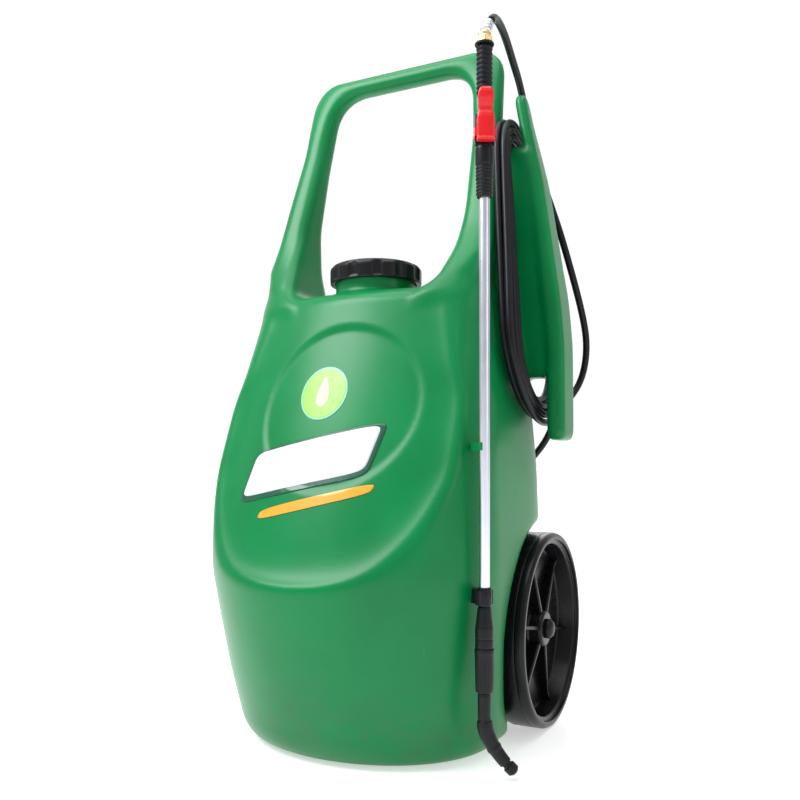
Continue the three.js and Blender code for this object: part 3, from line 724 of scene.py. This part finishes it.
def sticker(name, centre, outline, colour, lift, rough=0.3):
    """A thin printed film on the panel. outline(angle) gives [across, up] from the centre."""
    angle = np.linspace(0, TURN, 300, endpoint=False)
    across, up = outline(angle)
    out = np.concatenate([np.linspace(0, 1, 44), [1.0, 0.5, 0]])[:, None]
    x, z = centre[0] + out * across, centre[1] + out * up
    thick = np.concatenate([np.full(43, lift), [lift * 0.6], np.full(3, -0.3)])[:, None]
    y = panel_place(x, z) - thick
    f = Finish(name)
    wear = f.noise(90, 4).above(0.62, 0.1)
    film = f.done(Base_Color=f.mix(wear * 0.12, colour, (0.30, 0.42, 0.32)),
                  Roughness=wear * 0.15 + rough, Normal=f.bump(f.noise(500, 2), 0.00006, 0.4))
    points, quads = skin(np.stack([x, y, z], -1))
    return make(name, points, quads, film, "root")


def slanted(width, height, slope, lean, power=9):
    """A rounded block outline whose top leans over and whose base climbs to the right."""
    def outline(angle):
        c, s = np.cos(angle), np.sin(angle)
        size = (np.abs(c) ** power + np.abs(s) ** power) ** (-1 / power)
        across, up = width / 2 * size * c, height / 2 * size * s
        return across + lean * up, up + slope * across
    return outline


def drop(width, height):
    """A drop's outline: round below and drawn to a soft point above."""
    def outline(angle):
        pinch = (1 - np.sin(angle)) / 2
        return width / 2 * np.cos(angle) * (0.25 + 0.75 * pinch ** 0.7), height / 2 * np.sin(angle)
    return outline


def disc(radius):
    """A round outline."""
    return lambda angle: (radius * np.cos(angle), radius * np.sin(angle))


def add_decoration():
    """A plain badge with a drop, a blank name plate with an edge, and an amber band."""
    sticker("badge_edge", (-10, 506), disc(38), (0.20, 0.52, 0.36), 0.8)
    sticker("badge", (-10, 506), disc(35.5), (0.20, 0.50, 0.02), 1.1)
    sticker("badge_drop", (-10, 508), drop(26, 44), (0.50, 0.62, 0.30), 1.6)
    sticker("plate_edge", (-14, 408), slanted(204, 74, 0.20, 0.22), (0.004, 0.07, 0.035), 1.5)
    sticker("plate", (-15, 410), slanted(194, 64, 0.20, 0.22), (0.58, 0.60, 0.64), 2.3)
    sticker("amber_band", (8, 357), slanted(168, 15, 0.23, 0.35, 4), (0.76, 0.30, 0.015), 0.9)


# ---- turned and lofted pieces ----------------------------------------------------------------

LANCE = {"x": 224, "y": -120, "turn": math.radians(27)}
HOSE_JOIN = 960  # height on the lance where the hose's ferrule starts


def lance_place(points):
    """From the lance's own axes to the cart's."""
    return turn_z(points, LANCE["turn"]) + np.array([LANCE["x"], LANCE["y"], 0])


def lay_y(points):
    """A piece made about Z, laid along Y towards the rear."""
    return turn_x(points, -math.pi / 2)


def add_turned(name, grid, place, material, body, ring=False):
    """A piece from a turned grid that stands for the CAD node of its name."""
    points, quads = skin(grid, wrap_rows=ring)
    piece = make(name + "_finished", place(points), quads, material, body)
    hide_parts(name)
    return piece


def join_skins(*skins):
    """One list of points and faces from several."""
    points, quads, count = [], [], 0
    for p, q in skins:
        points.append(p)
        quads.append(q + count)
        count += len(p)
    return np.concatenate(points), np.concatenate(quads)


def lofted(stations, power=5, sides=40):
    """A closed body of squarish sections up Z: each station is [z, x, y, half x, half y].

    A section is a superellipse of the power given; both ends close on their middles.
    """
    s = np.asarray(stations, float)
    s = np.concatenate([s[:1], s, s[-1:]])
    s[0, 3:] = s[-1, 3:] = 0.001
    angle = np.linspace(0, TURN, sides, endpoint=False)[None]
    c, n = np.cos(angle), np.sin(angle)
    size = (np.abs(c) ** power + np.abs(n) ** power) ** (-1 / power)
    x = s[:, 1:2] + s[:, 3:4] * size * c
    y = s[:, 2:3] + s[:, 4:5] * size * n
    return skin(np.stack([x, y, np.repeat(s[:, :1], sides, 1)], -1))


def softened(stations, edge=1.0, steps=4):
    """The same stations with both ends drawn in over an edge, as a rounded corner."""
    s = np.asarray(stations, float)
    turn = np.linspace(0, math.pi / 2, steps)[:, None]
    low, high = np.repeat(s[:1], steps, 0), np.repeat(s[-1:], steps, 0)
    low[:, 3:] -= edge * (1 - np.sin(turn))
    low[:, 0] += edge * (1 - np.cos(turn))[:, 0]
    high[:, 3:] -= edge * (1 - np.cos(turn))
    high[:, 0] -= edge * (1 - np.sin(turn))[:, 0]
    return np.concatenate([low, s[1:-1], high])


def ribs(large, small, low, high, count):
    """A line of rounded rings [r, z] from low to high."""
    t = np.linspace(0, count, count * 10 + 1)
    bump = np.clip(0.5 + 1.6 * (0.5 + 0.5 * np.cos(TURN * (t - 0.45))) - 0.8, 0, 1)
    return np.stack([small + (large - small) * bump, low + (high - low) * t / count], -1).tolist()


def bore_ring(outside, bore, low, high, segments=64):
    """A ring about Z with a plain bore and an outside line [r, z] that runs upwards."""
    return closed_ring([[bore, low], *outside, [bore, high]], segments, 0.5)


# ---- lid -------------------------------------------------------------------------------------

def add_lid():
    """The screw lid: twelve flats round its skirt, a chamfered top and a thin raised ring."""
    def grips(angle, r, z):
        lobe = np.maximum(np.cos(12 * angle), 0) ** 0.6
        on_side = step_up(r, 64.5, 69) * step_up(z, 680, 684) * (1 - step_up(z, 700, 706))
        return r - 3.2 * lobe * on_side
    line = [[0.01, 706.4], [42, 706.4], [43.5, 708], [61, 708], [66, 705.5], [69.6, 701],
            [70, 698], [70, 692], [70, 686], [70, 681.5], [69, 679.3], [62.5, 679.3], [61.6, 681],
            [61.6, 703], [0.01, 703]]
    add_turned("filler_lid", turned(line, 288, 1.2, grips), lambda p: p, LID_BLACK, "lid")


# ---- wheels ----------------------------------------------------------------------------------

def add_wheels():
    """Two wheels: a tyre with a stepped lip, a deep dish, six ribs and a plain hub."""
    rim, half = WHEEL["radius"], WHEEL["width"] / 2
    line = [[8.3, -half], [28, -half], [28.5, -14], [rim - 17, -14], [rim - 13, -half + 2],
            [rim - 5, -half], [rim, -half + 6], [rim, 12], [rim - 0.7, 12.6], [rim - 0.7, 13.6],
            [rim, 14.2], [rim, half - 6], [rim - 2, half - 1.6], [rim - 5, half],
            [rim - 10, half], [rim - 11, half - 1], [rim - 11.4, half - 6],
            [rim - 16.5, half - 6.6], [rim - 17.8, half - 8], [rim - 22, -5], [rim - 26, -7],
            [33, -7], [30, -5], [28, 11], [26, 14.6], [22, 15], [8.3, 15]]
    body = skin(closed_ring(line, 160, 1.6), wrap_rows=True)
    length = np.linspace(22, rim - 18, 14)
    high = np.interp(length, [22, 30, rim - 30, rim - 18], [11, 10.5, 5.0, 9])
    arms = []
    for k in range(6):
        wide = np.interp(length, [22, rim - 18], [3.4, 2.6])
        stations = np.stack([length, 0 * length, (high - 9) / 2, wide, (high + 9) / 2], -1)
        points, quads = lofted(stations, 6, 32)
        laid = np.stack([points[:, 2], points[:, 0], points[:, 1]], -1)
        arms.append((turn_z(laid, TURN * k / 6 + 0.35), quads))
    points, quads = join_skins(body, *arms)
    for side, way in (("left", -1), ("right", 1)):
        centre = np.array([way * WHEEL["across"], WHEEL["y"], WHEEL["z"]])
        place = turn_y(points, way * math.pi / 2) + centre
        wheel = make(f"wheel_{side}_finished", place, quads, WHEEL_BLACK, f"wheel_{side}")
        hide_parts(f"wheel_{side}")


def add_axle_caps():
    """Domed caps over the axle's ends."""
    line = [[8.3, 15.3], [15, 15.3], [15.2, 19], [14, 22], [11, 25], [6, 26.7], [0.01, 27],
            [0.01, 22.3], [8.3, 22.3]]
    for side, way in (("left", -1), ("right", 1)):
        centre = np.array([way * WHEEL["across"], WHEEL["y"], WHEEL["z"]])
        add_turned(f"axle_cap_{side}", closed_ring(line, 64, 0.8),
                   lambda p, w=way, c=centre: turn_y(p, w * math.pi / 2) + c,
                   BLACK, "root", True)


# ---- lance, gun and nozzle -------------------------------------------------------------------

def add_gun():
    """The pipe, collar, valve, lever, grip and swivel, from below upwards."""
    pipe = bore_ring([[7, 225], [7, 775]], 5.5, 225.2, 774.8, 48)
    add_turned("lance_tube", pipe, lance_place, ALUMINIUM, "lance", True)
    collar = [[9.4, 749], [10.4, 751], *ribs(11.1, 10.2, 752, 770, 4),
              *ribs(11.6, 10.8, 771, 789, 4), [11.0, 790], [12, 792], [12, 811], [11, 814.4]]
    add_turned("lance_collar", bore_ring(collar, 7.3, 749, 814.7), lance_place,
               BLACK, "lance", True)

    block = lofted(softened([[815, 0, 2, 9, 9], [826, 0, 2, 9, 9], [840, 0, 2, 9, 9],
                             [858, 0, 2, 8.6, 8.6], [879, 0, 1, 8.2, 8.2]], 1.2), 5)
    cheeks = [lofted(softened([[817, x, -1, 2.1, 7], [836, x, -1, 2.1, 7],
                               [855, x, 0, 2.1, 5.5]], 0.8), 5) for x in (-10.6, 10.6)]
    stop = lofted(softened([[838, 0, -8.2, 5, 1.4], [846, 0, -8.2, 5, 1.4]], 0.6), 4)
    points, quads = join_skins(block, *cheeks, stop)
    valve = make("valve_body_finished", lance_place(points), quads, BLACK, "lance")
    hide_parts("valve_body")

    shape = [[816, -18.3, 11.2, 5.6], [818.5, -18.6, 11.8, 6.2], [820, -17.3, 11.6, 4.9],
             [836, -17.1, 11.6, 4.9], [846, -17.0, 11.4, 4.8], [851, -16.4, 10.4, 4.3],
             [855, -15.8, 9.3, 3.6], [859, -16.6, 9.0, 3.0], [864, -19.0, 9.6, 3.2],
             [870, -21.0, 10.2, 3.6], [876, -21.2, 9.8, 3.8], [881, -20.6, 8.2, 3.2],
             [883.6, -20.2, 5.8, 2.0]]
    height = np.linspace(816, 883.6, 60)
    table = np.array(shape)
    curve = [np.interp(height, table[:, 0], table[:, k]) for k in (1, 2, 3)]
    lever = lofted(softened(np.stack([height, 0 * height, *curve], -1), 0.9), 3.6, 56)
    lugs = [lofted(softened([[822, x, -7, 0.7, 6.2], [829, x, -6, 0.7, 7],
                             [836, x, -7, 0.7, 6.2]], 0.4), 4) for x in (-13.5, 13.5)]
    yoke = lofted(softened([[824, 0, -12.9, 14.1, 1.2], [834, 0, -12.9, 14.1, 1.2]], 0.5), 8)
    points, quads = join_skins(lever, *lugs, yoke)
    trigger = make("trigger_lever_finished", lance_place(points), quads, RED, "trigger")
    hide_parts("trigger_lever")

    grip = [[0.01, 879.4], [8.6, 879.4], *ribs(10.6, 8.9, 881, 943, 10), [8.8, 943.8],
            [0.01, 943.9]]
    add_turned("gun_grip", turned(grip, 64, 0.2), lance_place, GRIP, "lance")
    flange = [[0.01, 944.4], [12, 944.4], [12.5, 945.2], [12.5, 946.6], [11.8, 947.6],
              [0.01, 947.6]]
    add_turned("grip_flange", turned(flange, 64, 0.3), lance_place, BLACK, "lance")

    def hexagon(angle, r, z):
        flat = 9.5 / np.cos((angle + math.pi / 6) % (math.pi / 3) - math.pi / 6)
        return np.minimum(r, flat)

    nut = [[0.01, 948], [9.6, 948], [11, 949], [11, 954.4], [9.4, 955.4], [8.6, 956],
           [8.6, 959.6], [0.01, 959.6]]
    add_turned("swivel_nut", turned(nut, 96, 0.3, hexagon), lance_place, BRASS, "lance")

    ferrule = [[0.01, 4], [4, 4], [6.6, 5.4], [7.2, 6.2], [7.2, 10.4], [6.5, 11], [6.5, 12],
               [7.2, 12.6], [7.2, 17], [6.5, 17.6], [6.5, 18.6], [7.2, 19.2], [7.2, 24],
               [6.6, 25.6], [0.01, 26]]

    def at_tail(points):
        turned_back = turn_x(points, -0.62)
        return lance_place(turn_z(turned_back, -LANCE["turn"]) + np.array([0, 0, HOSE_JOIN]))

    add_turned("hose_ferrule", turned(ferrule, 48, 0.4), at_tail, STEEL, "lance")


def add_nozzle():
    """The spray end: slotted collet, body, fluted sleeve, bent neck and tip."""
    def slots(angle, r, z):
        return r - 1.1 * (np.cos(8 * angle) > 0.72) * step_up(r, 8, 9) * step_up(z, 236, 238)

    collet = [[8.6, 225], [9.3, 227], [9.3, 233], [9.6, 236], [9.6, 242], [9.2, 246], [8.4, 249]]
    ring = closed_ring([[7.3, 225], *collet, [7.3, 249]], 128, 0.5)
    angle = np.arctan2(ring[..., 1], ring[..., 0])
    r = np.hypot(ring[..., 0], ring[..., 1])
    ring[..., :2] *= (slots(angle, r, ring[..., 2]) / r)[..., None]
    add_turned("nozzle_collet", ring, lance_place, BLACK, "lance", True)

    body = [[0.01, 171], [11.4, 171], [12, 172], [12, 182], [11.5, 182.8], [11.5, 184],
            [12, 184.8], [12, 197], [11.4, 200], [11.2, 203], [10, 212], [9.2, 220], [8.6, 223.4],
            [7.4, 224.4], [0.01, 224.6]]
    add_turned("nozzle_body", turned(body, 72, 0.6), lance_place, BLACK, "lance")

    def flutes(angle, r, z):
        wave = 0.5 + 0.5 * np.cos(20 * angle)
        return r - 0.55 * wave * step_up(r, 11, 12) * step_up(164 - z, 0, 3)

    sleeve = [[0.01, 114.5], [10.4, 114.5], [11.4, 116], [11.8, 124], [12.2, 150], [12.5, 164],
              [13, 165.4], [13, 169.4], [12.2, 170.6], [0.01, 170.6]]
    add_turned("nozzle_sleeve", turned(sleeve, 160, 0.6, flutes), lance_place,
               BLACK, "nozzle_sleeve")

    path = smooth_line([[0, 0, 114.2], [0, 0, 100], [0, 0, 84], [2, 0, 66], [9, 0, 49],
                        [19, 0, 34], [27, 0, 24]], 1.0)
    far = np.linspace(0, 1, len(path))
    thick = np.interp(far, [0, 0.05, 0.36, 0.38, 0.41, 0.43, 0.60, 0.72, 0.74, 0.77, 0.79, 1],
                      [8.2, 8.8, 8.4, 10.2, 10.2, 10.6, 10.2, 9.4, 9.9, 9.9, 9.0, 8.2])
    points, quads = tube_skin(path, thick, 40)
    elbow = make("nozzle_elbow_finished", lance_place(points), quads, BLACK, "lance")
    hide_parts("nozzle_elbow")

    def knurl(angle, r, z):
        return r - 0.4 * (0.5 + 0.5 * np.cos(18 * angle)) * step_up(r, 7.4, 8.2)

    tip = [[0.01, 0.6], [6, 0.6], [6.2, 4], [8.4, 5], [8.4, 14], [6.4, 15.6], [5, 17], [2.4, 17],
           [1.6, 15.6], [0.01, 15.2]]

    def at_tip(points):
        return lance_place(turn_y(points, 0.75 * math.pi) + np.array([27.5, 0, 23.4]))

    add_turned("nozzle_tip", turned(tip, 144, 0.4, knurl), at_tip,
               BLACK, "nozzle_tip")


# ---- fittings at the rear --------------------------------------------------------------------

def add_rear_fittings():
    """The cover's four screws and the clamp on the hose's end."""
    _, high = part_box("rear_cover")
    rear = high[1] / MM
    screw = [[0.01, -14], [2.1, -14], [2.1, 0.3], [4.9, 0.3], [5, 0.9], [4.2, 2.6], [2.2, 3.3],
             [1.6, 3.3], [1.4, 1.2], [0.01, 1.2]]
    for i, (x, z) in enumerate([(-140, 180), (140, 180), (-140, 244), (140, 244)]):
        add_turned(f"cover_screw_{i + 1}", turned(screw, 48, 0.4),
                   lambda p, a=x, b=z: lay_y(p) + np.array([a, rear, b]), STEEL, "root")

    clamp = closed_ring([[5.6, 333], [7, 333], [7, 341], [5.6, 341]], 64, 0.4)
    points, quads = skin(clamp, wrap_rows=True)
    make("hose_clamp", points + np.array([122.8, 205.2, 0]), quads, STEEL, "root")


def soften_cad(width, *names):
    """Rounds the edges of CAD nodes that keep their own shape."""
    for name in names:
        node = frame["nodes"][name]
        weld = node.modifiers.new("weld", "WELD")
        weld.merge_threshold = 1e-5
        bevel = node.modifiers.new("bevel", "BEVEL")
        bevel.width = width * MM
        bevel.segments = 2
        bevel.limit_method = "ANGLE"
        bevel.angle_limit = math.radians(40)


add_decoration()
add_lid()
add_wheels()
add_axle_caps()
add_gun()
add_nozzle()
add_rear_fittings()
soften_cad(2.5, "rear_cover")
soften_cad(1.0, "equipment_tray", "battery", "pump_cradle", "pump_head", "pump_motor")
soften_cad(0.4, "switch_bezel", "rocker_switch", "socket_cap", "charge_socket", "lance_clip_upper",
           "lance_clip_lower", "drain_plug", "axle_spacer_left", "axle_spacer_right")


# ---- finish ----------------------------------------------------------------------------------

def add_floor():
    """A plain white floor."""
    along = np.linspace(-60, 60, 3)
    points = np.stack([*np.meshgrid(along, along, indexing="ij"), np.zeros((3, 3))], -1)
    quads = grid_faces(3, 3, False, False)[:, ::-1]
    mesh = bpy.data.meshes.new("floor")
    mesh.from_pydata(points.reshape(-1, 3).tolist(), [], quads.tolist())
    mesh.shade_smooth()
    f = Finish("studio_floor")
    mesh.materials.append(f.done(Base_Color=(0.9, 0.9, 0.9), Roughness=0.2,
                                   Emission_Color=(1, 1, 1), Emission_Strength=0.5))
    floor = bpy.data.objects.new("floor", mesh)
    bpy.context.collection.objects.link(floor)


def paint_cad():
    """Gives each CAD node the material of its slot."""
    for part in frame["record"]["subparts"]:
        mesh = frame["nodes"][part["node"]].data
        mesh.materials.clear()
        mesh.materials.append(SLOTS[part["material_slot"]])


def add_world():
    """A studio that is white behind the cart, as the camera sees it, and dimmer all round."""
    world = bpy.data.worlds.new("studio")
    world.use_nodes = True
    tree = world.node_tree
    background = tree.nodes["Background"]
    way = tree.nodes.new("ShaderNodeTexCoord")
    behind = tree.nodes.new("ShaderNodeVectorMath")
    behind.operation = "DOT_PRODUCT"
    behind.inputs[1].default_value = (-0.454, 0.891, 0.0)
    light = tree.nodes.new("ShaderNodeMapRange")
    light.interpolation_type = "SMOOTHSTEP"
    light.inputs["From Min"].default_value = 0.50
    light.inputs["From Max"].default_value = 0.76
    light.inputs["To Min"].default_value = 0.55
    light.inputs["To Max"].default_value = 1.05
    tree.links.new(way.outputs["Generated"], behind.inputs[0])
    tree.links.new(behind.outputs["Value"], light.inputs["Value"])
    tree.links.new(light.outputs["Result"], background.inputs["Strength"])
    background.inputs["Color"].default_value = (1, 1, 1, 1)
    bpy.context.scene.world = world
    bpy.context.scene.view_settings.view_transform = "Standard"


add_floor()
paint_cad()
add_world()
